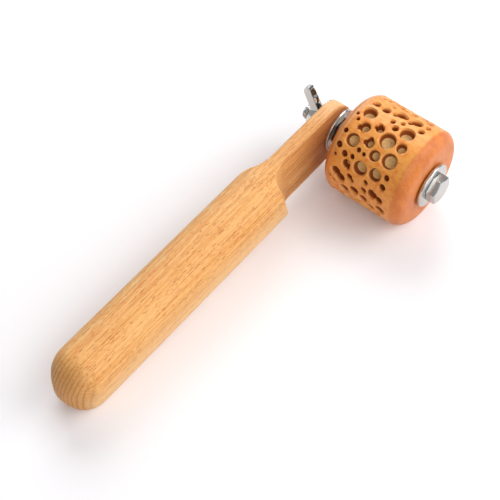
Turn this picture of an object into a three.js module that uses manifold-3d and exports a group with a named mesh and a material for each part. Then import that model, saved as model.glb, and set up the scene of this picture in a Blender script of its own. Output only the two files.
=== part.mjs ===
// Clay texture wheel: a wooden roller with carved round pits, turning on a bolt that is
// clamped in the tang of a straight wooden handle.
//
// Millimetres, +Z up. The tool rests as it does on a table: on the roller's lowest line and
// on the underside of the butt, so the whole tool leans by a few degrees about X.
// Before that lean, X is the bolt's axis (0 at the tang's inner face, the bolt head at +X),
// Y runs from the butt to the tang's tip (0 at the bolt) and Z is up (0 at the bolt).

import * as THREE from 'three';
import { mergeVertices } from 'three/addons/utils/BufferGeometryUtils.js';
import Module from 'manifold-3d';

const wasm = await Module();
wasm.setup();

// Fits and gaps
const clampGap = 0.1;          // left between faces that are clamped together
const runGap = 0.15;           // play on each side of the back washer
const frontGap = 0.5;          // the roller's own play, in front of its outer face

// Bolt and nuts, in the sizes of common 6 mm hardware
const boltDiameter = 5.9;
const boltLength = 59.5;       // under the head
const boltTipChamfer = 0.7;
const headAcrossFlats = 10;
const headHeight = 3.8;
const headTurn = -18;          // degrees, of a head corner from +Y towards +Z
const nutAcrossFlats = 10;
const nutThickness = 3;
const nutTurn = 58;
const nutHoleClearance = 0.25; // on the radius, round the bolt
const hexChamfer = 28;         // degrees of slope on the corners of head and nut

// Washers, all four alike
const washerDiameter = 18;
const washerThickness = 1.4;
const washerHoleClearance = 0.25;

// Wing nut
const hubBaseRadius = 6;
const hubTopRadius = 4.2;
const hubHeight = 4.6;
const wingRootThickness = 3;
const wingTipThickness = 2.1;
const wingWidth = 4.5;
const wingLean = 27;           // degrees that a wing leans away from the handle
const wingReach = 15.8;        // from the bolt's axis to the wing's tip
const wingRise = 0.3;          // from the nut's seat to the wing's inner edge
const wingInnerCorner = 0.5;
const wingOuterCorner = 3;
const wingTurn = 2;            // degrees, of the upper wing from +Z towards -Y

// Roller
const rollerDiameter = 40;
const rollerLength = 36;
const rimRadius = 5;
const rollerBore = 6.8;
const pitDepth = 3.2;
const pitDraft = 0.35;         // how much smaller in radius a pit's floor is
const backBand = 2.6;          // plain band beside the back face
const frontBand = 6.4;         // plain band beside the front face

// Handle
const tangThickness = 6;
const tangTipReach = 8.5;      // from the bolt's axis to the tang's tip
const boltHoleClearance = 0.35;
const gripHeight = 25;
const gripEdgeRadius = 8;
const innerStep = 7.35;        // how far the grip stands proud of the tang's inner face
const outerStep = 6.4;         // the same on the outer side
const innerNeckStart = 32;     // from the bolt's axis back to where the inner cove begins
const innerCoveRadius = 8;
const innerShoulderRadius = 1;
const innerCoveTilt = 13;      // degrees, the cove's lower end being nearer the tip
const outerNeckStart = 35;
const outerCoveRadius = 11;
const outerShoulderRadius = 9;
const handleReach = 151.3;      // from the bolt's axis to the end of the butt
const buttDome = 11;

// Pits on one half of the roller's turn, as [distance from the back face, angle from +Y
// towards +Z in degrees, diameter]. The other half carries the same pits again.
const pits = [
  [15.6, 150, 5.7], [22.0, 148, 5.2], [8.2, 127, 5.3], [24.5, 127, 6.1], [18.5, 130, 4.4],
  [19.7, 109, 6.4], [24.1, 91, 5.7], [7.6, 91, 5.3], [14.4, 121, 3.7], [14.2, 117, 2.4],
  [12.8, 122, 2.0], [9.6, 108.5, 4.1], [7.8, 111, 2.4], [25.7, 108.5, 4.0], [14.6, 101.5, 3.3],
  [13.1, 102, 1.8], [14.1, 98.5, 2.2], [19.0, 92, 2.9], [16.5, 86, 2.3], [19.9, 81.5, 2.1],
  [11.2, 75.7, 3.3], [7.0, 75.2, 3.0], [5.9, 77, 1.8], [16.8, 70, 4.1], [15.1, 75, 2.4],
  [18.8, 71, 2.6], [23.4, 68, 4.3], [21.6, 74.5, 2.6], [27.2, 78.2, 2.9], [27.9, 67, 2.4],
  [12.2, 64.3, 1.7], [4.0, 121.6, 2.1], [5.4, 104.3, 1.7], [3.9, 98.7, 1.5], [14.7, 134.3, 1.8],
  [12.2, 133, 2.1], [11.1, 143, 2.2], [7.8, 144.3, 2.9], [4.4, 138.2, 2.8], [4.5, 149.4, 1.5],
  [10.0, 153.5, 3.4], [11.2, 156.5, 1.9], [26.6, 144, 2.6], [26.5, 155.9, 3.0], [19.7, 161.4, 2.3],
  [19.7, 172.6, 3.0], [12.8, 166, 3.0], [14.2, 169, 2.2], [6.8, 168.5, 3.8], [9.2, 173.5, 4.0],
  [23.5, 171.5, 4.3], [26.5, 174, 3.3], [15.8, 181.5, 4.0], [11.5, 187.5, 3.8], [20.0, 186, 3.7],
  [27.4, 188.5, 4.0], [23.2, 193.5, 3.4], [6.6, 182.5, 1.8], [4.7, 178.5, 1.6], [8.0, 192, 1.8],
  [17.2, 197.5, 3.0], [14.3, 196, 2.2], [10.0, 200, 2.4], [26.3, 200.5, 2.6], [5.0, 204, 3.2],
  [20.5, 206, 4.6], [13.8, 206.5, 4.4], [9.3, 209.5, 2.8], [25.6, 211, 4.2], [17.2, 214, 2.6],
  [6.4, 215.5, 3.6], [21.6, 217, 2.4], [12.2, 219, 3.4], [18.4, 223, 4.8], [26.4, 223.5, 2.8],
  [8.6, 226, 4.2], [13.6, 228, 2.6], [4.4, 225.5, 1.9], [23.4, 228.5, 2.8], [11.8, 233, 2.2],
  [19.7, 234.5, 3.0], [8.5, 234.8, 2.0], [26.2, 233, 3.5], [14.2, 235.5, 2.4], [6.5, 237.5, 1.6],
  [16.2, 237, 1.6],
];

// A solid from any closed three.js geometry.
function solid(geometry) {
  const bare = new THREE.BufferGeometry();
  bare.setAttribute('position', geometry.getAttribute('position').clone());
  if (geometry.index) bare.setIndex(geometry.index.clone());
  const merged = mergeVertices(bare, 1e-4);
  const vertProperties = new Float32Array(merged.getAttribute('position').array);
  const triVerts = new Uint32Array(merged.index.array);
  const mesh = new wasm.Mesh({ numProp: 3, vertProperties, triVerts });
  return new wasm.Manifold(mesh);
}

// A three.js geometry from a solid.
function geometryOf(body) {
  const mesh = body.getMesh();
  const count = mesh.vertProperties.length / mesh.numProp;
  const points = new Float32Array(count * 3);
  for (let i = 0; i < count; i += 1) {
    for (let k = 0; k < 3; k += 1) {
      points[3 * i + k] = mesh.vertProperties[mesh.numProp * i + k];
    }
  }
  const geometry = new THREE.BufferGeometry();
  geometry.setAttribute('position', new THREE.BufferAttribute(points, 3));
  geometry.setIndex(new THREE.BufferAttribute(new Uint32Array(mesh.triVerts), 1));
  return geometry;
}

// Turns a profile of [distance along X, radius] pairs about the bolt's axis.
function turned(profile, segments) {
  const points = profile.map(([along, radius]) => new THREE.Vector2(radius, along));
  const geometry = new THREE.LatheGeometry(points, segments);
  geometry.rotateZ(-Math.PI / 2);
  return solid(geometry);
}

// A plain round bar or hole along the bolt's axis.
function bar(from, to, radius, segments) {
  return turned([[from, 0], [from, radius], [to, radius], [to, 0]], segments);
}

// A flat washer with its lower face at the given place along X.
function washer(from) {
  const hole = boltDiameter / 2 + washerHoleClearance;
  const rim = washerDiameter / 2;
  const to = from + washerThickness;
  return turned([[from, hole], [from, rim], [to, rim], [to, hole], [from, hole]], 48);
}

// A hexagon with its corners cut back by a cone, at the +X end or at both ends.
function hexagon(from, height, acrossFlats, turn, bothEnds) {
  const cornerRadius = acrossFlats / Math.sqrt(3);
  const prism = new THREE.CylinderGeometry(cornerRadius, cornerRadius, height, 6);
  prism.rotateZ(-Math.PI / 2);
  // The prism's first corner then lies on +Z, a quarter turn from +Y.
  prism.rotateX(THREE.MathUtils.degToRad(turn - 90));
  prism.translate(from + height / 2, 0, 0);
  const faceRadius = 0.93 * acrossFlats / 2;
  const wide = cornerRadius + 0.4;
  const cut = (wide - faceRadius) * Math.tan(THREE.MathUtils.degToRad(hexChamfer));
  const to = from + height;
  const profile = [[from - 1, 0], [from - 1, wide]];
  if (bothEnds) {
    profile.splice(0, 2, [from, 0], [from, faceRadius], [from + cut, wide]);
  }
  profile.push([to - cut, wide], [to, faceRadius], [to, 0]);
  return solid(prism).intersect(turned(profile, 48));
}

// The stack along the bolt, outward from the tang's inner face at 0
const innerWasherAt = clampGap;
const nutAt = innerWasherAt + washerThickness + clampGap;
const backWasherAt = nutAt + nutThickness + runGap;
const rollerAt = backWasherAt + washerThickness + runGap;
const frontWasherAt = rollerAt + rollerLength + frontGap;
const headAt = frontWasherAt + washerThickness + clampGap;
const boltEnd = headAt - boltLength;

// The stack on the tang's other side
const outerWasherAt = -tangThickness - clampGap - washerThickness;
const wingNutSeat = outerWasherAt - clampGap;

// Bolt
const shankRadius = boltDiameter / 2;
const shank = turned([
  [boltEnd, 0],
  [boltEnd, shankRadius - boltTipChamfer],
  [boltEnd + boltTipChamfer, shankRadius],
  [headAt + 1, shankRadius],
  [headAt + 1, 0],
], 32);
const bolt = hexagon(headAt, headHeight, headAcrossFlats, headTurn, false).add(shank);

// Thin nut
const nutHole = shankRadius + nutHoleClearance;
const thinNut = hexagon(nutAt, nutThickness, nutAcrossFlats, nutTurn, true)
  .subtract(bar(nutAt - 1, nutAt + nutThickness + 1, nutHole, 32));

// One wing, standing up from the bolt's axis. Its outline is drawn with x away from the
// nut's seat and y away from the bolt's axis.
function wing() {
  const lean = THREE.MathUtils.degToRad(wingLean);
  const up = new THREE.Vector2(Math.sin(lean), Math.cos(lean));
  const over = new THREE.Vector2(Math.cos(lean), -Math.sin(lean));
  const root = hubTopRadius - 1.5;
  const innerTip = new THREE.Vector2(wingRise, hubBaseRadius)
    .addScaledVector(up, (wingReach - hubBaseRadius) / up.y);
  const outerTip = innerTip.clone().addScaledVector(over, wingWidth);
  const innerRound = innerTip.clone()
    .addScaledVector(over, wingInnerCorner)
    .addScaledVector(up, -wingInnerCorner);
  const outerRound = outerTip.clone()
    .addScaledVector(over, -wingOuterCorner)
    .addScaledVector(up, -wingOuterCorner);
  const upAngle = Math.PI / 2 - lean;
  const outline = new THREE.Shape();
  outline.moveTo(wingRise, root);
  outline.lineTo(wingRise, hubBaseRadius);
  outline.absarc(innerRound.x, innerRound.y, wingInnerCorner, Math.PI - lean, upAngle, true);
  outline.absarc(outerRound.x, outerRound.y, wingOuterCorner, upAngle, -lean, true);
  outline.lineTo(outerTip.x - (outerTip.y - root) * Math.tan(lean), root);
  const plate = new THREE.ExtrudeGeometry(outline, {
    depth: 1, bevelEnabled: false, curveSegments: 4,
  });
  plate.translate(0, 0, -0.5);
  // The plate grows thinner from the hub to the tip.
  const position = plate.getAttribute('position');
  for (let i = 0; i < position.count; i += 1) {
    const out = (position.getY(i) - root) / (wingReach - root);
    const thickness = THREE.MathUtils.lerp(wingRootThickness, wingTipThickness, out);
    position.setZ(i, position.getZ(i) * thickness);
  }
  const awayFromSeat = new THREE.Vector3(-1, 0, 0);
  const awayFromAxis = new THREE.Vector3(0, 0, 1);
  const across = new THREE.Vector3(0, 1, 0);
  plate.applyMatrix4(new THREE.Matrix4().makeBasis(awayFromSeat, awayFromAxis, across));
  plate.translate(wingNutSeat, 0, 0);
  plate.rotateX(THREE.MathUtils.degToRad(wingTurn));
  return plate;
}

// Wing nut
const upperWing = wing();
const lowerWing = upperWing.clone();
lowerWing.rotateX(Math.PI);
const hubEnd = wingNutSeat - hubHeight;
const hub = turned([
  [hubEnd, 0],
  [hubEnd, hubTopRadius],
  [wingNutSeat - 1.2, hubBaseRadius],
  [wingNutSeat, hubBaseRadius],
  [wingNutSeat, 0],
], 40);
const wingNut = hub
  .add(solid(upperWing))
  .add(solid(lowerWing))
  .subtract(bar(hubEnd - 4, wingNutSeat + 1, nutHole, 32));

// Roller: the turned blank first
const rollerRadius = rollerDiameter / 2;
const rollerEnd = rollerAt + rollerLength;
const rimSteps = 4;
const blankProfile = [[rollerAt, rollerBore / 2]];
for (let i = 0; i <= rimSteps; i += 1) {
  const a = (i / rimSteps) * Math.PI / 2;
  const inset = rimRadius * (1 - Math.cos(a));
  blankProfile.push([rollerAt + inset, rollerRadius - rimRadius * (1 - Math.sin(a))]);
}
for (let i = rimSteps; i >= 0; i -= 1) {
  const a = (i / rimSteps) * Math.PI / 2;
  const inset = rimRadius * (1 - Math.cos(a));
  blankProfile.push([rollerEnd - inset, rollerRadius - rimRadius * (1 - Math.sin(a))]);
}
blankProfile.push([rollerEnd, rollerBore / 2], [rollerAt, rollerBore / 2]);
const blank = turned(blankProfile, 48);

// The tool that carves one pit, standing at the roller's surface
function pitTool(along, degrees, diameter) {
  const sides = diameter > 4.2 ? 10 : diameter > 2.8 ? 8 : 6;
  const over = 1;
  const floorRadius = diameter / 2 - pitDraft;
  const rimOver = diameter / 2 + pitDraft * over / pitDepth;
  const tool = new THREE.CylinderGeometry(rimOver, floorRadius, pitDepth + over, sides);
  tool.translate(0, rollerRadius - pitDepth + (pitDepth + over) / 2, 0);
  tool.rotateX(THREE.MathUtils.degToRad(degrees));
  tool.translate(rollerAt + along, 0, 0);
  return solid(tool);
}
const tools = [];
for (const [along, degrees, diameter] of pits) {
  const inBack = along - diameter / 2 > backBand;
  const inFront = along + diameter / 2 < rollerLength - frontBand;
  if (inBack && inFront) {
    tools.push(pitTool(along, degrees, diameter), pitTool(along, degrees + 180, diameter));
  }
}
const roller = blank.subtract(wasm.Manifold.union(tools));

// Handle: the grip's section, a rounded rectangle in X and Z
const gripInner = innerStep;
const gripOuter = -tangThickness - outerStep;
const gripWidth = gripInner - gripOuter;
const gripMiddle = (gripInner + gripOuter) / 2;
const cornerSteps = 7;
function gripSection(scale) {
  const ring = [];
  const halfX = gripWidth / 2 - gripEdgeRadius;
  const halfZ = gripHeight / 2 - gripEdgeRadius;
  const corners = [[1, 1, 0], [-1, 1, 90], [-1, -1, 180], [1, -1, 270]];
  for (const [sideX, sideZ, first] of corners) {
    for (let i = 0; i <= cornerSteps; i += 1) {
      const a = THREE.MathUtils.degToRad(first + (90 * i) / cornerSteps);
      const x = sideX * halfX + gripEdgeRadius * Math.cos(a);
      const z = sideZ * halfZ + gripEdgeRadius * Math.sin(a);
      ring.push([gripMiddle + scale * x, scale * z]);
    }
  }
  return ring;
}

// The grip, lofted from the butt's end to past the tang's tip
const domeSteps = 8;
const rings = [];
for (let i = 1; i <= domeSteps; i += 1) {
  const a = (i / domeSteps) * Math.PI / 2;
  rings.push([-handleReach + buttDome * (1 - Math.cos(a)), gripSection(Math.sin(a))]);
}
rings.push([tangTipReach + 5, gripSection(1)]);
const perRing = rings[0][1].length;
const stock = [];
for (const [y, ring] of rings) {
  for (const [x, z] of ring) stock.push(x, y, z);
}
const firstTip = stock.length / 3;
stock.push(gripMiddle, -handleReach, 0, gripMiddle, tangTipReach + 5, 0);
const faces = [];
for (let r = 0; r + 1 < rings.length; r += 1) {
  for (let i = 0; i < perRing; i += 1) {
    const a = r * perRing + i;
    const b = r * perRing + ((i + 1) % perRing);
    faces.push(a, a + perRing, b, b, a + perRing, b + perRing);
  }
}
const lastRing = (rings.length - 1) * perRing;
for (let i = 0; i < perRing; i += 1) {
  const next = (i + 1) % perRing;
  faces.push(firstTip, i, next);
  faces.push(firstTip + 1, lastRing + next, lastRing + i);
}
const gripStock = new THREE.BufferGeometry();
gripStock.setAttribute('position', new THREE.Float32BufferAttribute(stock, 3));
gripStock.setIndex(faces);

// The side view: as high as the grip all along, with a full round at the tang's tip
const sideOutline = new THREE.Shape();
const roundAt = tangTipReach - gripHeight / 2;
sideOutline.moveTo(-handleReach - 1, -gripHeight / 2 - 1);
sideOutline.lineTo(roundAt, -gripHeight / 2 - 1);
sideOutline.lineTo(roundAt, -gripHeight / 2);
sideOutline.absarc(roundAt, 0, gripHeight / 2, -Math.PI / 2, Math.PI / 2, false);
sideOutline.lineTo(roundAt, gripHeight / 2 + 1);
sideOutline.lineTo(-handleReach - 1, gripHeight / 2 + 1);
const sideForm = new THREE.ExtrudeGeometry(sideOutline, {
  depth: gripWidth + 4, bevelEnabled: false, curveSegments: 24,
});
const alongY = new THREE.Vector3(0, 1, 0);
const alongZ = new THREE.Vector3(0, 0, 1);
const alongX = new THREE.Vector3(1, 0, 0);
sideForm.applyMatrix4(new THREE.Matrix4().makeBasis(alongY, alongZ, alongX));
sideForm.translate(gripOuter - 2, 0, 0);

// What is cut from one side of the neck: flat along the tang, then a cove and a rounded
// shoulder. Drawn with x away from the tang's face and y towards the tip.
function neckCut(step, neckStart, coveRadius, shoulderRadius) {
  const climb = coveRadius + shoulderRadius;
  const swing = Math.acos(Math.max(0, 1 - step / climb));
  const shoulderX = step - shoulderRadius;
  const shoulderY = -neckStart - climb * Math.sin(swing);
  const shape = new THREE.Shape();
  shape.moveTo(0, tangTipReach + 10);
  shape.lineTo(0, -neckStart);
  shape.absarc(coveRadius, -neckStart, coveRadius, Math.PI, Math.PI + swing, false);
  shape.absarc(shoulderX, shoulderY, shoulderRadius, swing, 0, true);
  shape.lineTo(step + 5, shoulderY);
  shape.lineTo(step + 5, tangTipReach + 10);
  const cut = new THREE.ExtrudeGeometry(shape, {
    depth: 4 * gripHeight, bevelEnabled: false, curveSegments: 7,
  });
  cut.translate(0, 0, -2 * gripHeight);
  return cut;
}
const innerCut = neckCut(innerStep, innerNeckStart, innerCoveRadius, innerShoulderRadius);
innerCut.rotateX(THREE.MathUtils.degToRad(innerCoveTilt));
const outerCut = neckCut(outerStep, outerNeckStart, outerCoveRadius, outerShoulderRadius);
outerCut.rotateY(Math.PI);
outerCut.translate(-tangThickness, 0, 0);
const boltHole = boltDiameter / 2 + boltHoleClearance;
const handle = solid(gripStock)
  .intersect(solid(sideForm))
  .subtract(solid(innerCut))
  .subtract(solid(outerCut))
  .subtract(bar(-tangThickness - 1, 1, boltHole, 40));

// The lean: turned about X until the butt and the roller touch the same level
const handleGeometry = geometryOf(handle);
const rollerGeometry = geometryOf(roller);
function lowest(geometry, angle) {
  const position = geometry.getAttribute('position');
  let low = Infinity;
  for (let i = 0; i < position.count; i += 1) {
    const height = position.getY(i) * Math.sin(angle) + position.getZ(i) * Math.cos(angle);
    low = Math.min(low, height);
  }
  return low;
}
let leanLow = 0;
let leanHigh = THREE.MathUtils.degToRad(30);
for (let i = 0; i < 40; i += 1) {
  const middle = (leanLow + leanHigh) / 2;
  const buttIsLower = lowest(handleGeometry, middle) < lowest(rollerGeometry, middle);
  if (buttIsLower) leanHigh = middle;
  else leanLow = middle;
}
const lean = (leanLow + leanHigh) / 2;

// Materials
const beech = new THREE.MeshStandardMaterial({
  color: 0xe2bd8c, roughness: 0.55, metalness: 0,
});
const firedWood = new THREE.MeshStandardMaterial({
  color: 0xd29a5e, roughness: 0.5, metalness: 0,
});
const brightSteel = new THREE.MeshStandardMaterial({
  color: 0xc9cbce, roughness: 0.25, metalness: 1,
});
const castZinc = new THREE.MeshStandardMaterial({
  color: 0xb9bcc0, roughness: 0.4, metalness: 1,
});

// The scene: every piece in the bolt's frame, inside one group that leans
const leaning = new THREE.Group();
function place(name, geometry, material) {
  const mesh = new THREE.Mesh(geometry, material);
  mesh.name = name;
  leaning.add(mesh);
  return mesh;
}
place('handle', handleGeometry, beech);
place('roller', rollerGeometry, firedWood);
place('bolt', geometryOf(bolt), brightSteel);
place('front_washer', geometryOf(washer(frontWasherAt)), brightSteel);
place('back_washer', geometryOf(washer(backWasherAt)), brightSteel);
place('thin_nut', geometryOf(thinNut), brightSteel);
place('inner_washer', geometryOf(washer(innerWasherAt)), brightSteel);
place('outer_washer', geometryOf(washer(outerWasherAt)), brightSteel);
place('wing_nut', geometryOf(wingNut), castZinc);
leaning.rotation.x = lean;

// Stand it with the middle of its underside at the origin
const wheel = new THREE.Group();
wheel.add(leaning);
wheel.updateMatrixWorld(true);
const box = new THREE.Box3().setFromObject(wheel, true);
const middleOfBox = box.getCenter(new THREE.Vector3());
leaning.position.set(-middleOfBox.x, -middleOfBox.y, -box.min.z);
wheel.updateMatrixWorld(true);

export default wheel;
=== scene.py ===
# %% [markdown]
# # A clay texture wheel
# The tool is a wooden roller full of carved pits. It turns on a bolt that is clamped in the
# flat neck of a beech handle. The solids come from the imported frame, which also knows what
# moves. Here each piece gets its fine shape and its finish, and keeps its place.

# %% Load the frame
import math

import bmesh
import bpy
from mathutils import Matrix, Vector


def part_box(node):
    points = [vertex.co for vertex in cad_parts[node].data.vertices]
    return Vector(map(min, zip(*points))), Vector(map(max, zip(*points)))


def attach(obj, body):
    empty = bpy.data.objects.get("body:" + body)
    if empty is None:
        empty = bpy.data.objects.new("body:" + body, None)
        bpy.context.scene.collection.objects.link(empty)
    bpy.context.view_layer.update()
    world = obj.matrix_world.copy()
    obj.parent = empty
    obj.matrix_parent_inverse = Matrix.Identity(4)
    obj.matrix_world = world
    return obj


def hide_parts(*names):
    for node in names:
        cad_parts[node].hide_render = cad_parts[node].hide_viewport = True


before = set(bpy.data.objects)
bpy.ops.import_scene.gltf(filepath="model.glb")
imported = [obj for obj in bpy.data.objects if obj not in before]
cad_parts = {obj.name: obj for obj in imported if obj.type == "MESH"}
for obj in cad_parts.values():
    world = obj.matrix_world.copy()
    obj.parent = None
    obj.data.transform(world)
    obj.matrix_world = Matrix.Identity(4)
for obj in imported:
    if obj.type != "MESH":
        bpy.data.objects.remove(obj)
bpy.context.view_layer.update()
print("nodes:", sorted(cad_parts))

# %% [markdown]
# ## Where the tool lies
# The tool rests on the roller's lowest line and on the butt, so it leans by three degrees.
# Every piece is modelled in the tool's own directions first: X along the bolt with 0 at the
# tang's inner face, Y along the handle with 0 at the bolt, Z up. One matrix then lays it
# down. Sizes are in millimetres and turn to metres in one place.

# %% The tool's own frame
MM = 0.001
CLAMP = 0.1  # left between faces that are clamped together
LEAN = math.radians(3.0599409)
washer_low, washer_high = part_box("front_washer")
inner_low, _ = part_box("inner_washer")
axis_y = (washer_low.y + washer_high.y) / 2
axis_z = (washer_low.z + washer_high.z) / 2
tang_face = inner_low.x - CLAMP * MM
LAY_DOWN = Matrix.Translation((tang_face, axis_y, axis_z)) @ Matrix.Rotation(LEAN, 4, "X")
print("bolt axis at", round(axis_y, 5), round(axis_z, 5), "tang face at", round(tang_face, 5))

# %% [markdown]
# ## The camera
# It looks down steeply from the roller's outer side. A fairly long lens keeps the far end of
# the handle nearly as large as the near end.

# %% Camera
right = Vector((0.7797, 0.6262, -0.0007))
down = Vector((0.5133, -0.6398, -0.5720))
ahead = Vector((-0.3586, 0.4456, -0.8203))
eye = Vector((176.5, -273.1, 382.8)) * MM
turn = Matrix((right, -down, -ahead)).transposed().to_4x4()
SENSOR, FOCAL_PIXELS, PICTURE_PIXELS = 36, 1300, 500
camera_data = bpy.data.cameras.new("camera")
camera_data.sensor_width = SENSOR
camera_data.lens = SENSOR * FOCAL_PIXELS / PICTURE_PIXELS
camera_data.clip_start = 0.01
camera = bpy.data.objects.new("camera", camera_data)
bpy.context.scene.collection.objects.link(camera)
camera.matrix_world = LAY_DOWN @ Matrix.Translation(eye) @ turn
bpy.context.scene.camera = camera
print("camera at", [round(c, 3) for c in camera.matrix_world.translation])

# %% [markdown]
# ## Small helpers
# An operator works on what is selected, so a helper first leaves one piece selected alone.
# Another picks faces, edges or corners by where they are. Others carve one piece with
# another, ease its edges or sand it all over, and one lays a finished piece down.

# %% Selecting
def only(piece):
    """Leaves one object selected and active."""
    bpy.ops.object.select_all(action="DESELECT")
    piece.select_set(True)
    bpy.context.view_layer.objects.active = piece


def added(name, data):
    """Puts a new object with the given data into the scene."""
    thing = bpy.data.objects.new(name, data)
    bpy.context.scene.collection.objects.link(thing)
    return thing


def freeze(piece):
    """Moves the object's place and turn into its mesh."""
    only(piece)
    bpy.ops.object.transform_apply(location=True, rotation=True, scale=True)
    return piece


def pick(piece, kind, test):
    """In edit mode, selects the corners, edges or faces whose middle passes the test."""
    only(piece)
    bpy.ops.object.mode_set(mode="EDIT")
    bpy.ops.mesh.select_mode(type=kind)
    bpy.ops.mesh.select_all(action="DESELECT")
    mesh = bmesh.from_edit_mesh(piece.data)
    for item in {"VERT": mesh.verts, "EDGE": mesh.edges, "FACE": mesh.faces}[kind]:
        corners = [item] if kind == "VERT" else item.verts
        places = [corner.co / MM for corner in corners]
        item.select = bool(test(places))
    mesh.select_flush_mode()
    bmesh.update_edit_mesh(piece.data)


def done():
    """Back to object mode."""
    bpy.ops.object.mode_set(mode="OBJECT")


# %% Carving and finishing
def apply(piece, modifier):
    """Turns a modifier's result into the piece's own mesh."""
    only(piece)
    bpy.ops.object.modifier_apply(modifier=modifier.name)


def carve(piece, cutter, operation="DIFFERENCE"):
    """Cuts, joins or trims piece with cutter, and removes the cutter."""
    modifier = piece.modifiers.new("carve", "BOOLEAN")
    modifier.operation = operation
    modifier.object = cutter
    modifier.solver = "MANIFOLD"
    apply(piece, modifier)
    bpy.data.objects.remove(cutter)


def ease(piece, width, segments=3, angle=30):
    """Takes the sharpness off every edge that turns by more than angle degrees."""
    modifier = piece.modifiers.new("ease", "BEVEL")
    modifier.width = width * MM
    modifier.segments = segments
    modifier.limit_method = "ANGLE"
    modifier.angle_limit = math.radians(angle)
    apply(piece, modifier)


def sanded(piece, cell, rounds):
    """Gives a piece one even skin of small cells, then smooths it a few times."""
    remesh = piece.modifiers.new("skin", "REMESH")
    remesh.mode = "VOXEL"
    remesh.voxel_size = cell * MM
    apply(piece, remesh)
    smooth = piece.modifiers.new("sand", "SMOOTH")
    smooth.factor = 0.5
    smooth.iterations = rounds
    apply(piece, smooth)


def finished(piece, name, body, node, smooth=35):
    """Lays a piece down, names it and hands it to the frame."""
    piece.name = name
    piece.data.name = name
    piece.matrix_world = LAY_DOWN @ piece.matrix_world
    freeze(piece)
    bpy.ops.object.shade_smooth_by_angle(angle=math.radians(smooth))
    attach(piece, body)
    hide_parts(node)
    print(name, len(piece.data.polygons), "faces")
    return piece


# %% Round bars and drawn outlines
def bar(start, end, radius, sides=96):
    """A round bar along the bolt's axis."""
    bpy.ops.object.select_all(action="DESELECT")
    bpy.ops.mesh.primitive_cylinder_add(
        vertices=sides, radius=radius * MM, depth=(end - start) * MM,
        location=((start + end) / 2 * MM, 0, 0), rotation=(0, math.pi / 2, 0))
    return freeze(bpy.context.object)


def drawn(points, depth):
    """Draws an outline corner by corner, fills it and pulls it out by depth."""
    points = [Vector(p) * MM for p in points]
    bpy.ops.object.select_all(action="DESELECT")
    bpy.ops.mesh.primitive_plane_add(size=MM, location=points[0])
    piece = freeze(bpy.context.object)
    bpy.ops.object.mode_set(mode="EDIT")
    bpy.ops.mesh.select_mode(type="VERT")
    bpy.ops.mesh.select_all(action="SELECT")
    bpy.ops.mesh.merge(type="CENTER")
    for before, after in zip(points, points[1:]):
        step = tuple(after - before)
        bpy.ops.mesh.extrude_vertices_move(TRANSFORM_OT_translate={"value": step})
    bpy.ops.mesh.select_all(action="SELECT")
    bpy.ops.mesh.edge_face_add()
    pull = tuple(Vector(depth) * MM)
    bpy.ops.mesh.extrude_region_move(TRANSFORM_OT_translate={"value": pull})
    bpy.ops.mesh.select_all(action="SELECT")
    bpy.ops.mesh.normals_make_consistent(inside=False)
    done()
    return piece


def pull_out(direction, rings, origin=(0, 0, 0)):
    """Pulls the selected end face out ring by ring; each ring has a reach and a size."""
    direction = Vector(direction)
    for (before, size), (after, new_size) in zip(rings, rings[1:]):
        step = tuple(direction * (after - before) * MM)
        bpy.ops.mesh.extrude_region_move(TRANSFORM_OT_translate={"value": step})
        k = new_size / size
        keep = tuple(1 if abs(d) > 0.5 else k for d in direction)
        bpy.ops.transform.resize(value=keep, center_override=tuple(Vector(origin) * MM))


def arc(centre, radius, first, last, steps):
    """Points on an arc in a plane, with angles in degrees."""
    angles = [math.radians(first + (last - first) * i / steps) for i in range(steps + 1)]
    return [(centre[0] + radius * math.cos(a), centre[1] + radius * math.sin(a)) for a in angles]


# %% [markdown]
# ## The handle
# One stick of beech: a rectangular grip with generously rounded edges and a domed butt. Near
# the bolt it is sawn down on both sides to a flat tang with a round end. A stretched cube
# with bevelled edges gives the grip, and the butt is pulled out of its end face ring by
# ring. The two sides are then carved with drawn cutters, as a saw and a sanding drum do it.

# %% Sizes of the handle
TANG, TIP, HEIGHT = 6.0, 8.5, 25.0
GRIP_IN, GRIP_OUT = 7.35, -12.4
EDGE, REACH, DOME = 8.0, 151.3, 11.0
BOLT_R = 2.95
BOLT_HOLE = BOLT_R + 0.35
INNER_START, INNER_COVE, COVE_TILT = 32.0, 8.0, math.radians(13)

# %% The grip and its domed butt
bpy.ops.object.select_all(action="DESELECT")
straight_end, blank_tip = -REACH + DOME, TIP + 5
bpy.ops.mesh.primitive_cube_add(
    size=MM,
    location=((GRIP_IN + GRIP_OUT) / 2 * MM, (blank_tip + straight_end) / 2 * MM, 0),
    scale=(GRIP_IN - GRIP_OUT, blank_tip - straight_end, HEIGHT))
handle = freeze(bpy.context.object)
pick(handle, "EDGE", lambda p: abs(p[0].y - p[1].y) > 10)
bpy.ops.mesh.bevel(offset=EDGE * MM, segments=12, profile=0.5, affect="EDGES")
done()
pick(handle, "FACE", lambda p: all(abs(c.y - straight_end) < 0.01 for c in p))
dome_angles = [math.radians(7.5 * i) for i in range(12)]
dome = [(DOME * math.sin(a), math.cos(a)) for a in dome_angles]
pull_out((0, -1, 0), dome, ((GRIP_IN + GRIP_OUT) / 2, 0, 0))
done()
print("grip", [round(d / MM, 1) for d in handle.dimensions], "mm")

# %% The round end of the tang, seen from the side
side_form = bar(-20, 20, HEIGHT / 2, 160)
side_form.location.y = (TIP - HEIGHT / 2) * MM
freeze(side_form)
pick(side_form, "VERT", lambda p: p[0].y < TIP - HEIGHT / 2 - 0.1)
bpy.ops.transform.resize(value=(1, 0, 1.1), center_override=(0, -0.17, 0))
done()
carve(handle, side_form, "INTERSECT")


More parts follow.
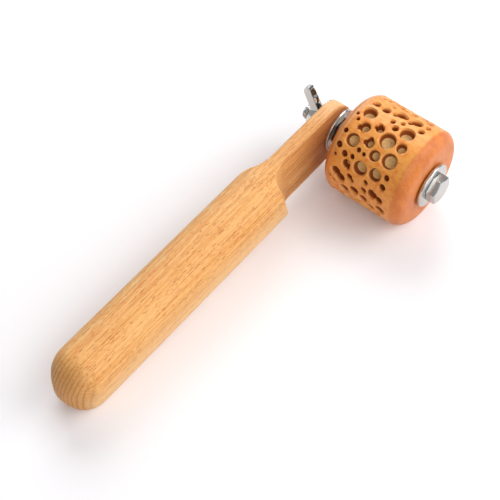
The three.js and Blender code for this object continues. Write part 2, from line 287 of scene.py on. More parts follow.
# %% The outline of what is sawn off one side
def side_cut(step, start, cove, shoulder, steps, past_tip):
    """A hollow cove at the start of the grip and a rounded shoulder up to its full width."""
    swing = math.degrees(math.acos(1 - step / (cove + shoulder)))
    foot = arc((cove, -start), cove, 180, 180 + swing, steps[0])
    crest_y = -start - (cove + shoulder) * math.sin(math.radians(swing))
    crest = arc((step - shoulder, crest_y), shoulder, swing, 0, steps[1])
    clear = step + 6
    return ([(0, past_tip), (0, -start)] + foot[1:] + crest[1:]
            + [(clear, crest_y), (clear, past_tip)])


# %% The outer side: a slow cove that swells back into the grip
outline = side_cut(-TANG - GRIP_OUT, 35.0, 11.0, 9.0, (10, 10), 20)
carve(handle, drawn([(-TANG - u, v, -15) for u, v in outline], (0, 0, 30)))

# %% The inner side: a tighter cove, leaning, with a short crisp shoulder
outline = side_cut(GRIP_IN, INNER_START, INNER_COVE, 1.0, (12, 6), 30)
inner_cut = drawn([(u, v, -50) for u, v in outline], (0, 0, 100))
inner_cut.rotation_euler.x = COVE_TILT
freeze(inner_cut)
carve(handle, inner_cut)
carve(handle, bar(-TANG - 2, 2, BOLT_HOLE, 48))

# %% [markdown]
# Sanding leaves no sharp edge on wood. A fine remesh gives the whole stick one even skin, and
# a few rounds of smoothing then soften every edge by about half a millimetre, also where the
# coves run into the rounded grip, which a bevel can't follow.

# %% Sand the handle
sanded(handle, 0.55, 5)
handle = finished(handle, "beech_handle", "tool_body", "handle", 60)

# %% [markdown]
# ## The roller
# A turned cylinder with well rounded rims, bored for the bolt. Round pits of many sizes are
# carved into its side, close together and some running into each other, and leave a plain
# band at both ends. The blank is a cylinder whose rims are pulled out of its end faces ring by
# ring. Its side is cut into cells of about a millimetre, so that the shading round each pit
# stays close to it.

# %% The turned blank
ROLLER_AT, LENGTH, RADIUS, BORE = 6.3, 36.0, 20.0, 3.4
RIM, RIM_ARC, RIM_TURN, RIM_BAND = 4.0, 5.4, 75, 0.3
CELLS = 26
whole = math.sin(math.radians(RIM_TURN))
rim = [(0.0, RADIUS), (RIM_BAND, RADIUS)]
for a in (math.radians(degrees) for degrees in (70, 62, 52, 42, 32, 22, 12, 4)):
    reach = RIM_BAND + RIM - RIM_ARC * (1 - math.cos(a))
    rim.append((reach, RADIUS - RIM_ARC * (whole - math.sin(a))))
blank = bar(ROLLER_AT + RIM + RIM_BAND, ROLLER_AT + LENGTH - RIM - RIM_BAND, RADIUS, 160)
middle_x = ROLLER_AT + LENGTH / 2
for side in (-1, 1):
    pick(blank, "FACE", lambda p: len(p) > 20 and (p[0].x - middle_x) * side > 0)
    pull_out((side, 0, 0), rim)
    done()
pick(blank, "EDGE", lambda p: abs(p[0].x - p[1].x) > 10)
bpy.ops.mesh.subdivide(number_cuts=CELLS - 1)
done()
pick(blank, "FACE", lambda p: len(p) > 20)
flat = min(size for _, size in rim)
for _ in range(2):
    bpy.ops.mesh.inset(thickness=(flat - BORE) / 2 * MM)
bpy.ops.mesh.bridge_edge_loops()
done()
print("blank", [round(d / MM, 1) for d in blank.dimensions], "mm")

# %% [markdown]
# Each pit is given as the distance from the roller's back face, the angle from the handle's
# direction upward, and the diameter. The other half turn carries the same pits again. Small
# pits are a little less deep. Each cutter flares at the top, which eases the pit's mouth. Two
# cutters of one batch never meet, so each batch is one clean cut.

# %% Where the pits are
PITS = [
    (15.6, 150, 5.7), (22.0, 148, 5.2), (8.2, 127, 5.3), (24.5, 127, 6.1), (18.5, 130, 4.4),
    (19.7, 109, 6.4), (24.1, 91, 5.7), (7.6, 91, 5.3), (14.4, 121, 3.7), (14.2, 117, 2.4),
    (12.8, 122, 2.0), (9.6, 108.5, 4.1), (7.8, 111, 2.4), (25.7, 108.5, 4.0), (14.6, 101.5, 3.3),
    (13.1, 102, 1.8), (14.1, 98.5, 2.2), (19.0, 92, 2.9), (16.5, 86, 2.3), (19.9, 81.5, 2.1),
    (11.2, 75.7, 3.3), (7.0, 75.2, 3.0), (5.9, 77, 1.8), (16.8, 70, 4.1), (15.1, 75, 2.4),
    (18.8, 71, 2.6), (23.4, 68, 4.3), (21.6, 74.5, 2.6), (27.2, 78.2, 2.9), (27.9, 67, 2.4),
    (12.2, 64.3, 1.7), (4.0, 121.6, 2.1), (5.4, 104.3, 1.7), (3.9, 98.7, 1.5), (14.7, 134.3, 1.8),
    (12.2, 133, 2.1), (11.1, 143, 2.2), (7.8, 144.3, 2.9), (4.4, 138.2, 2.8), (4.5, 149.4, 1.5),
    (10.0, 153.5, 3.4), (11.2, 156.5, 1.9), (26.6, 144, 2.6), (26.5, 155.9, 3.0),
    (19.7, 161.4, 2.3), (19.7, 172.6, 3.0), (12.8, 166, 3.0), (14.2, 169, 2.2), (6.8, 168.5, 3.8),
    (9.2, 173.5, 4.0), (23.5, 171.5, 4.3), (26.5, 174, 3.3), (15.8, 181.5, 4.0),
    (11.5, 187.5, 3.8), (20.0, 186, 3.7), (27.4, 188.5, 4.0), (23.2, 193.5, 3.4),
    (6.6, 182.5, 1.8), (4.7, 178.5, 1.6), (8.0, 192, 1.8), (17.2, 197.5, 3.0), (14.3, 196, 2.2),
    (10.0, 200, 2.4), (26.3, 200.5, 2.6), (5.0, 204, 3.2), (20.5, 206, 4.6), (13.8, 206.5, 4.4),
    (9.3, 209.5, 2.8), (25.6, 211, 4.2), (17.2, 214, 2.6), (6.4, 215.5, 3.6), (21.6, 217, 2.4),
    (12.2, 219, 3.4), (18.4, 223, 4.8), (26.4, 223.5, 2.8), (8.6, 226, 4.2), (13.6, 228, 2.6),
    (4.4, 225.5, 1.9), (23.4, 228.5, 2.8), (11.8, 233, 2.2), (19.7, 234.5, 3.0),
    (8.5, 234.8, 2.0), (26.2, 233, 3.5), (14.2, 235.5, 2.4), (6.5, 237.5, 1.6), (16.2, 237, 1.6),
]
BAND_START, BAND_END = 2.6, LENGTH - 6.4
pits = [(x, a, d) for x, a, d in PITS if x - d / 2 > BAND_START and x + d / 2 < BAND_END]
pits = pits + [(x, a + 180, d) for x, a, d in pits]
PIT_DEPTH, SMALL_PIT_DEPTH, SMALL_PIT = 3.2, 2.7, 3
print(len(pits), "pits")


# %% One cutter for each class of size
CUTTER_SIZES = (1.5, 2.0, 2.6, 3.4, 4.4, 5.8)
FLOOR_RINGS = [(0.0, 1.0), (0.12, 0.8), (0.4, 0.62)]  # height, and the share of the taper left
MOUTH_RINGS = [(2.6, 0.02), (2.93, 0.13), (3.08, 0.24), (3.2, 0.42), (3.6, 1.2)]  # and flare


def pit_cutter(size):
    """A cutter that points at the bolt: flat floor, tapering wall and flared mouth."""
    facets, depth = (28, PIT_DEPTH) if size > SMALL_PIT else (18, SMALL_PIT_DEPTH)
    taper = min(0.85, size * 0.26)
    bpy.ops.object.select_all(action="DESELECT")
    bpy.ops.mesh.primitive_circle_add(
        vertices=facets, radius=(size / 2 - taper) * MM, fill_type="NGON")
    piece = bpy.context.object
    piece.location.z = (RADIUS - depth) * MM
    freeze(piece)
    pick(piece, "FACE", lambda p: True)
    rings = [(rise, -share * taper) for rise, share in FLOOR_RINGS] + MOUTH_RINGS
    pull_out((0, 0, 1), [(rise, size / 2 + wider) for rise, wider in rings])
    bpy.ops.mesh.select_all(action="SELECT")
    bpy.ops.mesh.normals_make_consistent(inside=False)
    done()
    return piece


cutters = {size: pit_cutter(size) for size in CUTTER_SIZES}


# %% Sort the pits into batches that don't meet
CUTTER_FLARE = 2.8  # room for the flared mouths of two cutters


def meets(one, other):
    """Whether the cutters of two pits would touch."""
    turn_apart = (one[1] - other[1] + 180) % 360 - 180
    apart = math.hypot(one[0] - other[0], math.radians(turn_apart) * (RADIUS - PIT_DEPTH))
    return apart < (one[2] + other[2]) / 2 + CUTTER_FLARE


batches = []
for pit in sorted(pits, key=lambda p: -p[2]):
    for batch in batches:
        if not any(meets(pit, other) for other in batch):
            batch.append(pit)
            break
    else:
        batches.append([pit])
print("batches", [len(b) for b in batches])

# %% Carve the pits
for batch in batches:
    copies = []
    for x, a, d in batch:
        nearest = min(cutters, key=lambda size: abs(size - d))
        copy = added("pit", cutters[nearest].data.copy())
        # Angles run from +Y towards +Z, and the cutter is modelled along +Z.
        swing = Matrix.Rotation(math.radians(a - 90), 4, "X")
        place = Matrix.Translation(((ROLLER_AT + x) * MM, 0, 0))
        copy.matrix_world = place @ swing @ Matrix.Diagonal((d / nearest, d / nearest, 1, 1))
        copies.append(copy)
    bpy.ops.object.select_all(action="DESELECT")
    for copy in copies:
        copy.select_set(True)
    bpy.context.view_layer.objects.active = copies[0]
    bpy.ops.object.join()
    carve(blank, freeze(bpy.context.object))
for master in cutters.values():
    bpy.data.objects.remove(master)
roller = finished(blank, "pitted_roller", "roller_body", "roller", 50)
rim_edges = [tang_face / MM + ROLLER_AT + at for at in (RIM, LENGTH - RIM)]
pick(roller, "EDGE", lambda p: any(all(abs(c.x - at) < 0.02 for c in p) for at in rim_edges))
bpy.ops.mesh.mark_sharp()
done()

# %% [markdown]
# ## Washers
# Four flat washers of one size, punched from sheet, so their edges are slightly round. One is
# modelled and copied.

# %% The washers
WASHER, THICK = 9.0, 1.4
BACK_GAP, FRONT_GAP = 0.15, 0.5  # play on either side of the roller
NUT_HOLE = BOLT_R + 0.25
NUT_AT, NUT_THICK = CLAMP + THICK + CLAMP, 3.0
FRONT_AT = ROLLER_AT + LENGTH + FRONT_GAP
HEAD_AT = FRONT_AT + THICK + CLAMP
SEAT = -TANG - CLAMP - THICK - CLAMP
washer = bar(0, THICK, WASHER, 128)
pick(washer, "FACE", lambda p: len(p) > 20)
bpy.ops.mesh.inset(thickness=(WASHER - NUT_HOLE) * MM)
bpy.ops.mesh.bridge_edge_loops()
done()
ease(washer, 0.4, 4)
places = [
    ("washer_front", FRONT_AT, "front_washer_body", "front_washer"),
    ("washer_back", ROLLER_AT - BACK_GAP - THICK, "back_washer_body", "back_washer"),
    ("washer_inner", CLAMP, "tool_body", "inner_washer"),
    ("washer_outer", SEAT + CLAMP, "outer_washer_body", "outer_washer"),
]
washers = []
for name, at, body, node in places:
    copy = added(name, washer.data.copy())
    copy.location.x = at * MM
    freeze(copy)
    washers.append(finished(copy, name, body, node))
bpy.data.objects.remove(washer)


# %% [markdown]
# ## Bolt head and thin nut
# Both start as six-sided bars. A cone trims their corners, which leaves the curved line that
# every real hexagon shows where the cone meets a flat.

# %% A chamfered hexagon
FLATS, CHAMFER = 10, math.radians(26)
HEAD_TALL, HEAD_TURN, NUT_TURN = 3.8, -18, 58


def hexagon(start, end, flats, turn, both_ends):
    """A hexagon with its corners trimmed by a cone at the far end, or at both."""
    piece = bar(start, end, flats / math.sqrt(3), 6)
    piece.rotation_euler.x = math.radians(turn)
    freeze(piece)
    face, depth = 0.483 * flats, 7.0
    wide = face + depth / math.tan(CHAMFER)
    ends = [(end - depth / 2, math.pi / 2)]
    if both_ends:
        ends.append((start + depth / 2, -math.pi / 2))
    for x, tilt in ends:
        bpy.ops.object.select_all(action="DESELECT")
        bpy.ops.mesh.primitive_cone_add(
            vertices=144, radius1=wide * MM, radius2=face * MM, depth=depth * MM,
            location=(x * MM, 0, 0), rotation=(0, tilt, 0))
        carve(piece, freeze(bpy.context.object), "INTERSECT")
    return piece


thin_nut = hexagon(NUT_AT, NUT_AT + NUT_THICK, FLATS, NUT_TURN, True)
carve(thin_nut, bar(NUT_AT - 1, NUT_AT + NUT_THICK + 1, NUT_HOLE, 64))
ease(thin_nut, 0.12, 2)
thin_nut = finished(thin_nut, "jam_nut", "tool_body", "thin_nut", 20)

# %% [markdown]
# The bolt's thread is real here: a bar is divided into rings and each ring's corners are
# moved in and out along a spiral with a pitch of 1 mm. It shows where the bolt's end stands
# out of the wing nut.

# %% The bolt
BOLT_LENGTH, THREAD, THREAD_DEPTH, PITCH = 59.5, 24.0, 0.52, 1.0
RINGS_A_MM, LEAD_IN = 10, 0.8
BOLT_END = HEAD_AT - BOLT_LENGTH
thread = bar(BOLT_END, BOLT_END + THREAD, BOLT_R, 40)
pick(thread, "EDGE", lambda p: abs(p[0].x - p[1].x) > 10)
bpy.ops.mesh.subdivide(number_cuts=int(THREAD * RINGS_A_MM) - 1)
done()
for corner in thread.data.vertices:
    x, y, z = corner.co / MM
    phase = (x / PITCH - math.atan2(z, y) / (2 * math.pi)) % 1.0
    ridge = min(1.0, max(0.0, 1.35 - 2.9 * abs(phase - 0.5)))
    risen = min(1.0, (x - BOLT_END) / LEAD_IN)
    r = BOLT_R - THREAD_DEPTH + THREAD_DEPTH * min(ridge, risen)
    if math.hypot(y, z) > 0.1:
        k = r / math.hypot(y, z)
        corner.co = Vector((x, y * k, z * k)) * MM
shank = bar(BOLT_END + THREAD - 0.5, HEAD_AT + 0.5, BOLT_R, 64)
bolt = hexagon(HEAD_AT, HEAD_AT + HEAD_TALL, FLATS, HEAD_TURN, False)
ease(bolt, 0.14, 3)
carve(bolt, shank, "UNION")
carve(bolt, thread, "UNION")
bolt = finished(bolt, "hex_bolt", "tool_body", "bolt", 20)

# %% [markdown]
# ## The wing nut
# A casting: a short cone with two ears that lean away from the handle. The ears are drawn
# from the side, thinned towards the tip and joined to the cone. A fine remesh and a little
# smoothing melt the joints together as casting does.

# %% The wing nut
HUB, HUB_TOP, HUB_BASE, HUB_BAND = 4.6, 4.2, 6.0, 1.2
hub = bar(SEAT - HUB_BAND, SEAT, HUB_BASE, 96)
pick(hub, "FACE", lambda p: all(c.x < SEAT - HUB_BAND + 0.1 for c in p))
pull = (-(HUB - HUB_BAND) * MM, 0, 0)
bpy.ops.mesh.extrude_region_move(TRANSFORM_OT_translate={"value": pull})
k = HUB_TOP / HUB_BASE
bpy.ops.transform.resize(value=(1, k, k), center_override=(0, 0, 0))
done()
EAR_LEAN, EAR_WIDE, EAR_REACH, EAR_RISE = 27, 4.5, 15.8, 0.3
ROOT_THICK, TIP_THICK = 3, 2.1
INNER_CORNER, OUTER_CORNER = 0.5, 3
EAR_TURN = math.radians(2)
ear_lean = math.radians(EAR_LEAN)
up = Vector((math.sin(ear_lean), math.cos(ear_lean)))
over = Vector((math.cos(ear_lean), -math.sin(ear_lean)))
root = HUB_TOP - 1.5
inner_tip = Vector((EAR_RISE, HUB_BASE)) + up * (EAR_REACH - HUB_BASE) / up.y
outer_tip = inner_tip + over * EAR_WIDE
inner_round = inner_tip + over * INNER_CORNER - up * INNER_CORNER
outer_round = outer_tip - over * OUTER_CORNER - up * OUTER_CORNER
side = [(EAR_RISE, root), (EAR_RISE, HUB_BASE)]
side += arc(inner_round, INNER_CORNER, 180 - EAR_LEAN, 90 - EAR_LEAN, 4)
side += arc(outer_round, OUTER_CORNER, 90 - EAR_LEAN, -EAR_LEAN, 10)
side += [(outer_tip.x - (outer_tip.y - root) * math.tan(ear_lean), root)]
for flip in (0, math.pi):
    ear = drawn([(SEAT - u, -0.5, v) for u, v in side], (0, 1, 0))
    for corner in ear.data.vertices:
        out = (corner.co.z / MM - root) / (EAR_REACH - root)
        corner.co.y *= ROOT_THICK + (TIP_THICK - ROOT_THICK) * out
    ear.rotation_euler.x = EAR_TURN + flip
    freeze(ear)
    carve(hub, ear, "UNION")
carve(hub, bar(SEAT - 9, SEAT + 1, NUT_HOLE, 64))
sanded(hub, 0.16, 6)
wing_nut = finished(hub, "winged_nut", "wing_nut_body", "wing_nut", 60)


# %% [markdown]
# ## Writing finishes as sums
# A finish is a graph of small nodes. One class wraps a socket, so that 1 - mask adds the
# Math node by itself, and one method adds any other node with its settings and sockets.

# %% The finish writer
class Value:
    """A number in a finish that can be added, multiplied and so on."""

    def __init__(self, tree, socket):
        self.tree, self.socket = tree, socket

    def _sum(self, operation, first, second):
        node = self.tree.nodes.new("ShaderNodeMath")
        node.operation = operation
        for place, value in enumerate((first, second)):
            if isinstance(value, Value):
                self.tree.links.new(value.socket, node.inputs[place])
            else:
                node.inputs[place].default_value = value
        return Value(self.tree, node.outputs[0])

    def __add__(self, other):
        return self._sum("ADD", self, other)

    def __radd__(self, other):
        return self._sum("ADD", other, self)

    def __sub__(self, other):
        return self._sum("SUBTRACT", self, other)

    def __rsub__(self, other):
        return self._sum("SUBTRACT", other, self)

    def __mul__(self, other):
        return self._sum("MULTIPLY", self, other)

    def __rmul__(self, other):
        return self._sum("MULTIPLY", other, self)

    def __truediv__(self, other):
        return self._sum("DIVIDE", self, other)

    def __pow__(self, other):
        return self._sum("POWER", self, other)

    def __mod__(self, other):
        return self._sum("FLOORED_MODULO", self, other)


class Finish:
    """The nodes of a material, or of the world's light, under construction."""

    def __init__(self, owner):
        owner.use_nodes = True
        self.owner, self.tree = owner, owner.node_tree
        self.tree.nodes.clear()

    def add(self, kind, settings, sockets, out=0):
        """Adds a node: first its settings, then the value or link of each socket."""
        node = self.tree.nodes.new("ShaderNode" + kind)
        for name, value in settings.items():
            setattr(node, name, value)
        for name, value in sockets.items():
            if isinstance(value, Value):
                self.tree.links.new(value.socket, node.inputs[name])
            else:
                node.inputs[name].default_value = value
        return Value(self.tree, node.outputs[out])

    def mix(self, factor, first, second):
        """Mixes two colours. The node's sockets share names, so they go by number."""
        ends = {}
        for place, colour in ((6, first), (7, second)):
            ends[place] = colour if isinstance(colour, Value) else (*colour, 1)
        return self.add("Mix", {"data_type": "RGBA"}, {0: factor, **ends}, out=2)

    def layers(self, tone, layers):
        """Lays colours over a tone, each as strongly as its mask says."""
        for mask, colour in layers:
            tone = self.mix(mask, tone, rgb(*colour))
        return tone

    def between(self, value, low, high):
        """Rises smoothly from 0 to 1 as value goes from low to high."""
        settings = {"interpolation_type": "SMOOTHSTEP"}
        return self.add("MapRange", settings, {"Value": value, "From Min": low, "From Max": high})

    def noise(self, place, scale, detail=2.0, rough=0.5, seed=0.0):
        """Soft noise with a chosen size along each direction."""
        stretched = self.add(
            "Mapping", {}, {"Vector": place, "Scale": scale, "Location": (seed, seed, seed)})
        return self.add("TexNoise", {}, {
            "Vector": stretched, "Scale": 1.0, "Detail": detail, "Roughness": rough})

    def tool_place(self):
        """The point in the tool's own frame, in millimetres, and its X, Y and Z."""
        point = self.add("TexCoord", {}, {}, out="Object")
        back = Matrix.Rotation(-LEAN, 3, "X") @ Vector((tang_face, axis_y, axis_z))
        point = self.add("Mapping", {}, {
            "Vector": point, "Location": -back / MM,
            "Rotation": (-LEAN, 0, 0), "Scale": (1 / MM, 1 / MM, 1 / MM)})
        parts = [self.add("SeparateXYZ", {}, {"Vector": point}, out=i) for i in range(3)]
        return point, *parts

    def surface(self, colour, roughness, metallic=0.0, normal=None, others=None):
        """Ends the finish in one Principled shader."""
        sockets = {"Base Color": colour, "Roughness": roughness, "Metallic": metallic}
        if normal is not None:
            sockets["Normal"] = normal
        sockets.update(others or {})
        self.end(self.add("BsdfPrincipled", {}, sockets))
        return self.owner

    def end(self, shader, kind="Material"):
        """Leads a shader to the output."""
        output = self.tree.nodes.new("ShaderNodeOutput" + kind)
        self.tree.links.new(shader.socket, output.inputs["Surface"])


def rgb(red, green, blue):
    """A colour as given on screen, as the light values that a shader uses."""
    return tuple(((c / 255 + 0.055) / 1.055) ** 2.4 if c > 10 else c / 255 / 12.92
                 for c in (red, green, blue))


# %% [markdown]
# ## Beech
# Light beech has growth rings that show as fine dark lines along the stick, broken into short
# dashes where pores open, and as arcs on the butt. Rays show as small orange flecks. All of
# it is worked out from the place inside the wood, so lines on the top run on round the edges.

# %% Beech finish
wood = Finish(bpy.data.materials.new("beech"))
point, x, y, z = wood.tool_place()
drift = wood.noise(point, (0.03, 0.007, 0.03), 2.0, 0.5)
ring = ((x - z * 0.12 + y * 0.02 + drift * 5.0) / 1.6) % 1.0
ring_line = wood.between(ring, 0.5, 0.9) * (1 - wood.between(ring, 0.9, 0.98))
fibre = wood.noise(point, (2.3, 0.025, 2.3), 3.0, 0.6, 9.0)
hair = wood.noise(point, (1.1, 0.025, 1.1), 2.0, 0.5, 2.0)
cloud = wood.noise(point, (0.12, 0.03, 0.12), 2.0, 0.5, 5.0)
curl = wood.noise(point, (0.55, 0.25, 0.55), 2.0, 0.5, 17.0)
inner_half = wood.between(x, -8.0, -1.5)
lines = wood.noise(point, (4.0, 0.05, 4.0), 1.0, 0.5, 3.0)
dashes = wood.noise(point, (1.4, 0.42, 1.4), 1.0, 0.5, 12.0)
tick = wood.between(lines, 0.5, 0.6) * wood.between(dashes + inner_half * 0.06, 0.53, 0.6)
pores = wood.noise(point, (2.6, 0.33, 2.6), 1.0, 0.5, 31.0)
pore = wood.between(pores + inner_half * 0.05, 0.7, 0.76)
fleck = wood.between(wood.noise(point, (0.9, 0.3, 0.9), 1.0, 0.4, 21.0), 0.67, 0.75)
end_grain = wood.between(y, straight_end - 1.2, straight_end - 8.2)
tang = wood.between(y, -INNER_START - 8.0, -INNER_START + 1.0)
flat_side = wood.between(x, -1.4, -0.4)
streak = wood.between(wood.noise(point, (1.0, 0.02, 1.0), 2.0, 0.6, 14.0), 0.49, 0.6)
streak = streak * tang * flat_side
leaning = y * math.cos(COVE_TILT) + z * math.sin(COVE_TILT) + INNER_START
from_cove = ((x - INNER_COVE) * (x - INNER_COVE) + leaning * leaning) ** 0.5
cove_band = 1 - wood.between(from_cove, INNER_COVE + 0.1, INNER_COVE + 0.5)
cove_band = cove_band * wood.between(x, 0.2, 0.8) * wood.between(leaning, 0.5, -0.5)
stipple = wood.noise(point, (2.2, 2.2, 2.2), 2.0, 0.6, 6.0)
# painted shade on the tang's flat inner face, deeper towards the washer
painted_face_shade = flat_side * wood.between(y, -36.0, -12.0) * 0.42
top_tint = (1 - flat_side) * (1 - wood.between(y, -18.0, -2.0)) * 0.28
# painted light: paler along the lower part of the grip's inner side
painted_low_side_light = wood.between(x, 4.0, 7.0) * wood.between(z, 4.0, -4.0) * (1 - tang)
tip = wood.between(y, -14.0, 0.0) * (1 - flat_side)

# %% Beech colours, from the bottom layer to the top one
tone = wood.mix(cloud, rgb(243, 178, 104), rgb(251, 196, 124))
tone = wood.layers(tone, [
    (wood.between(curl, 0.45, 0.68) * (1 - inner_half) * 0.65, (255, 218, 156)),
    (wood.between(fibre, 0.47, 0.6) * (tang * 0.15 + 0.55), (220, 134, 60)),
    (wood.between(hair, 0.5, 0.7) * 0.35, (232, 158, 86)),
    (ring_line * (end_grain * 0.55 + (1 - inner_half) * 0.15 + 0.05), (150, 88, 40)),
    (tick * (1 - end_grain) * 0.6, (200, 114, 46)),
    (pore * (1 - end_grain) * 0.65, (172, 90, 34)),
    (fleck * 0.55, (220, 126, 54)),
    (end_grain * 0.3, (208, 140, 78)),
    # painted shade on the tang's inner face, deeper towards the washer; the tang's top is also
    # darker away from its tip
    (tang * (painted_face_shade + top_tint), (190, 118, 60)),
    # painted light on the lower part of the grip's inner side
    (painted_low_side_light * 0.4, (255, 220, 170)),
    (tip * 0.45, (250, 206, 158)),
    (streak * 0.4, (152, 90, 44)),
    (cove_band * (stipple * 0.6 + 0.15), (232, 176, 118)),
    # painted shade along the cove's rim next to the shoulder
    (cove_band * wood.between(x, 6.2, 7.0) * 0.5, (150, 92, 50)),
])
height = fibre * 0.5 - tick - pore
bump = wood.add("Bump", {}, {"Height": height, "Strength": 0.12, "Distance": 0.0002})
beech = wood.surface(
    tone, fibre * 0.15 + 0.42, normal=bump, others={"Specular IOR Level": 0.35})
print(beech.name, len(wood.tree.nodes), "nodes")

# %% [markdown]
# ## The roller's wood
# It is warmer and more orange than the handle. The walls of the pits get a painted red-brown
# shade, while their flat floors stay pale. The distance from the bolt's axis tells wall and
# floor apart, between the two plain bands. Small pits end above that floor and keep the
# painted shade. A paler ring round each pit's mouth is a painted highlight.

# %% Roller finish
wood = Finish(bpy.data.materials.new("roller_wood"))
point, x, y, z = wood.tool_place()
radius = (y * y + z * z) ** 0.5
fibre = wood.noise(point, (0.14, 3.4, 3.4), 3.0, 0.6, 4.0)
cloud = wood.noise(point, (0.03, 0.12, 0.12), 2.0, 0.5, 8.0)
mottle = wood.noise(point, (0.5, 0.6, 0.6), 2.0, 0.5, 2.0)
grain = wood.noise(point, (1.1, 1.9, 1.9), 3.0, 0.7, 15.0)
patches = wood.noise(point, (0.3, 0.22, 0.1), 3.0, 0.6, 12.0)
front_edge = ROLLER_AT + LENGTH - RIM
end_grain = wood.between(x, front_edge - 0.9, front_edge + 0.7)
back_rim = 1 - wood.between(x, ROLLER_AT + 1.0, ROLLER_AT + 7.0)
band_start, band_end = ROLLER_AT + BAND_START, ROLLER_AT + BAND_END
in_band = wood.between(x, band_start - 0.4, band_start - 0.1)
in_band = in_band * wood.between(x, band_end + 0.4, band_end + 0.2)
depth = RADIUS - radius
# painted shade on the walls of the pits, and all through the small ones
painted_pit_shade = wood.between(depth, 0.4, 1.6) * in_band
# painted highlight: a paler ring round each pit's mouth
painted_mouth_highlight = wood.between(depth, 0.05, 0.2) * (1 - wood.between(depth, 0.5, 0.9)) * in_band
pit_floor = wood.between(depth, PIT_DEPTH - 0.3, PIT_DEPTH - 0.1) * in_band

# %% Roller colours, from the bottom layer to the top one
tone = wood.mix(cloud, rgb(255, 166, 72), rgb(255, 186, 96))
tone = wood.layers(tone, [
    (wood.between(fibre, 0.47, 0.63) * 0.45, (236, 122, 34)),
    (wood.between(mottle, 0.45, 0.7) * 0.5, (236, 116, 28)),
    (wood.between(grain, 0.5, 0.7) * 0.4, (212, 98, 24)),
    (end_grain * 0.75, (220, 118, 52)),
    (wood.between(patches, 0.42, 0.62) * end_grain * 0.4, (196, 92, 30)),
    (back_rim * 0.65, (206, 112, 48)),
    # painted shade in the pits
    (painted_pit_shade * 0.9, (128, 52, 18)),
    # painted highlight round the pits' mouths
    (painted_mouth_highlight * 0.35, (255, 208, 140)),
    (pit_floor * (1.1 - wood.between(grain, 0.4, 0.65) * 0.4), (255, 214, 142)),
])
bump = wood.add("Bump", {}, {"Height": fibre + grain, "Strength": 0.2, "Distance": 0.0002})
roller_wood = wood.surface(
    tone, mottle * 0.15 + 0.36, normal=bump,
    others={"Specular IOR Level": 0.35, "Coat Weight": (1 - painted_pit_shade) * (0.4 - end_grain * 0.2),
            "Coat Roughness": 0.35})
print(roller_wood.name, len(wood.tree.nodes), "nodes")

# %% [markdown]
# ## Bright metal
# The bolt, nuts and washers are plated steel: nearly white, smooth, with faint marks from
# handling. The marks change the roughness more than the colour. The thin nut is rougher than
# the washers beside it and carries a painted dark brown shade and reflection. The wing nut's
# inner edge is lumpy, with a painted dark reflection broken by bright spots.

# %% Metal finishes
def plated(name, colour, rough, scale, lumps=0.0):
    """A plated metal: smooth steel, or with lumps a casting."""
    metal = Finish(bpy.data.materials.new(name))
    point, x, _, z = metal.tool_place()
    marks = metal.noise(point, (scale, scale, scale), 4.0, 0.65, 1.0)
    haze = metal.noise(point, (0.35, 0.35, 0.35), 2.0, 0.5, 7.0)
    tone = metal.mix(haze, colour, tuple(c * 0.9 for c in colour))
    if not lumps:
        nut_end = NUT_AT + NUT_THICK
        # the thin nut: a painted dark brown shade and reflection, and a little more roughness
        nut_shade_and_dullness = metal.between(x, NUT_AT - 0.05, NUT_AT)
        nut_shade_and_dullness = nut_shade_and_dullness * (1 - metal.between(x, nut_end, nut_end + 0.05))
        tone = metal.mix(nut_shade_and_dullness * 0.75, tone, (0.2, 0.18, 0.15))
        return metal.surface(tone, marks * 0.16 + haze * 0.1 + rough + nut_shade_and_dullness * 0.12, 1.0)
    waves = metal.noise(point, (0.36, 0.36, 0.36), 0.0, 0.5, 3.0)
    edge = metal.between(x + math.tan(ear_lean) * (z - HUB_BASE), SEAT - 1.1, SEAT - 0.6)
    # painted dark reflection along the wing's inner edge, broken by bright spots
    painted_dark_reflection = edge * (1 - metal.between(waves, 0.64, 0.67)) * 0.93
    tone = metal.mix(painted_dark_reflection, tone, (0.05, 0.05, 0.05))
    bump = metal.add("Bump", {}, {"Height": waves * edge, "Strength": lumps, "Distance": 0.0012})
    return metal.surface(tone, marks * 0.16 + haze * 0.1 + rough, 1.0, bump)


bright_steel = plated("bright_steel", (0.67, 0.665, 0.65), 0.1, 3.0)
plated_casting = plated("plated_casting", (0.8, 0.78, 0.75), 0.08, 1.6, 1.0)

# %% Give every piece its finish
for piece, finish in [
    (handle, beech), (roller, roller_wood), (bolt, bright_steel), (thin_nut, bright_steel),
    (wing_nut, plated_casting), *[(w, bright_steel) for w in washers],
]:
    piece.data.materials.clear()
    piece.data.materials.append(finish)
    print(piece.name, "in", finish.name)

# %% [markdown]
# ## Floor, light and backdrop
# The tool lies on white paper. For the camera, and in reflections, the paper gets a little
# light of its own, so that it reaches white while the soft shadow stays. Far from the tool,
# where the lamps don't reach, the camera sees plain white.

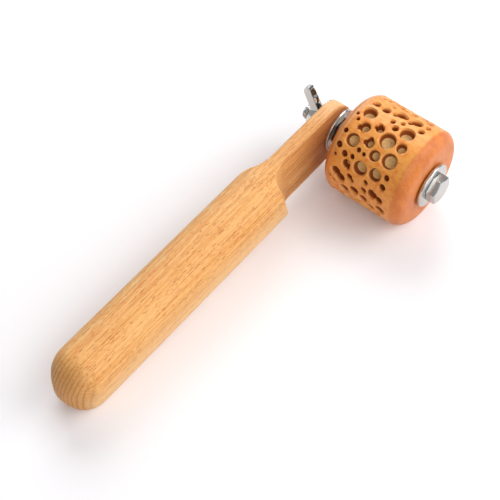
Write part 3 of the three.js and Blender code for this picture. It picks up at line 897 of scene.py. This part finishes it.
# %% Floor
bpy.ops.object.select_all(action="DESELECT")
bpy.ops.mesh.primitive_plane_add(size=6, location=(0, 0, 0))
paper = bpy.context.object
paper.name = "paper"
sheet = Finish(bpy.data.materials.new("paper"))
seen = sheet.add("LightPath", {}, {}, out="Is Camera Ray")
glossy = sheet.add("LightPath", {}, {}, out="Is Glossy Ray")
through = sheet.add("LightPath", {}, {}, out="Is Transmission Ray")
lift = sheet.add("Clamp", {}, {"Value": seen + glossy + through})
white = sheet.mix(seen, (0.82, 0.82, 0.82), (0.98, 0.97, 0.99))
diffuse = sheet.add("BsdfDiffuse", {}, {"Color": white})
glow = sheet.add("Emission", {}, {"Color": (0.05, 0.05, 0.055, 1), "Strength": lift})
lit = sheet.add("AddShader", {}, {0: diffuse, 1: glow})
spot = sheet.add("TexCoord", {}, {}, out="Object")
away = sheet.add("VectorMath", {"operation": "LENGTH"}, {0: spot}, out="Value")
backdrop = sheet.add("Emission", {}, {"Color": (1, 1, 1, 1), "Strength": 1.0})
far_off = sheet.between(away, 0.4, 1.1) * seen
sheet.end(sheet.add("MixShader", {}, {0: far_off, 1: lit, 2: backdrop}))
paper.data.materials.append(sheet.owner)
print("paper", [round(d, 1) for d in paper.dimensions], "m")

# %% [markdown]
# Two softboxes stand beyond the tool, one to each side, and throw two soft shadows towards the
# camera. A third, weaker one fills from the front. The room adds a weak, even light. Polished
# metal sees it as a mid grey, between the bright softboxes and the dark gaps.

# %% Light
world = bpy.data.worlds.new("studio")
bpy.context.scene.world = world
room = Finish(world)
seen = room.add("LightPath", {}, {}, out="Is Camera Ray")
mirror = room.add("LightPath", {}, {}, out="Is Glossy Ray")
strength = seen * 0.92 + mirror * 0.25 + 0.08
room.end(room.add("Background", {}, {"Color": (1, 1, 1, 1), "Strength": strength}), "World")


def softbox(name, heading, height, size, power):
    """A square lamp a metre away that looks at the tool; heading in degrees from +X."""
    data = bpy.data.lights.new(name, "AREA")
    data.shape, data.size, data.energy = "SQUARE", size, power
    lamp = added(name, data)
    a, e = math.radians(heading), math.radians(height)
    place = Vector((math.cos(a) * math.cos(e), math.sin(a) * math.cos(e), math.sin(e)))
    lamp.location = place
    lamp.rotation_euler = (-place).to_track_quat("-Z", "Y").to_euler()
    print(name, "at", [round(c, 2) for c in place])


softbox("right_softbox", 40, 38, 1.0, 7.8)
softbox("left_softbox", 134, 39, 0.85, 7.3)
softbox("front_softbox", 322, 46, 0.9, 4.6)

# %% Colour management
bpy.context.scene.view_settings.view_transform = "Standard"
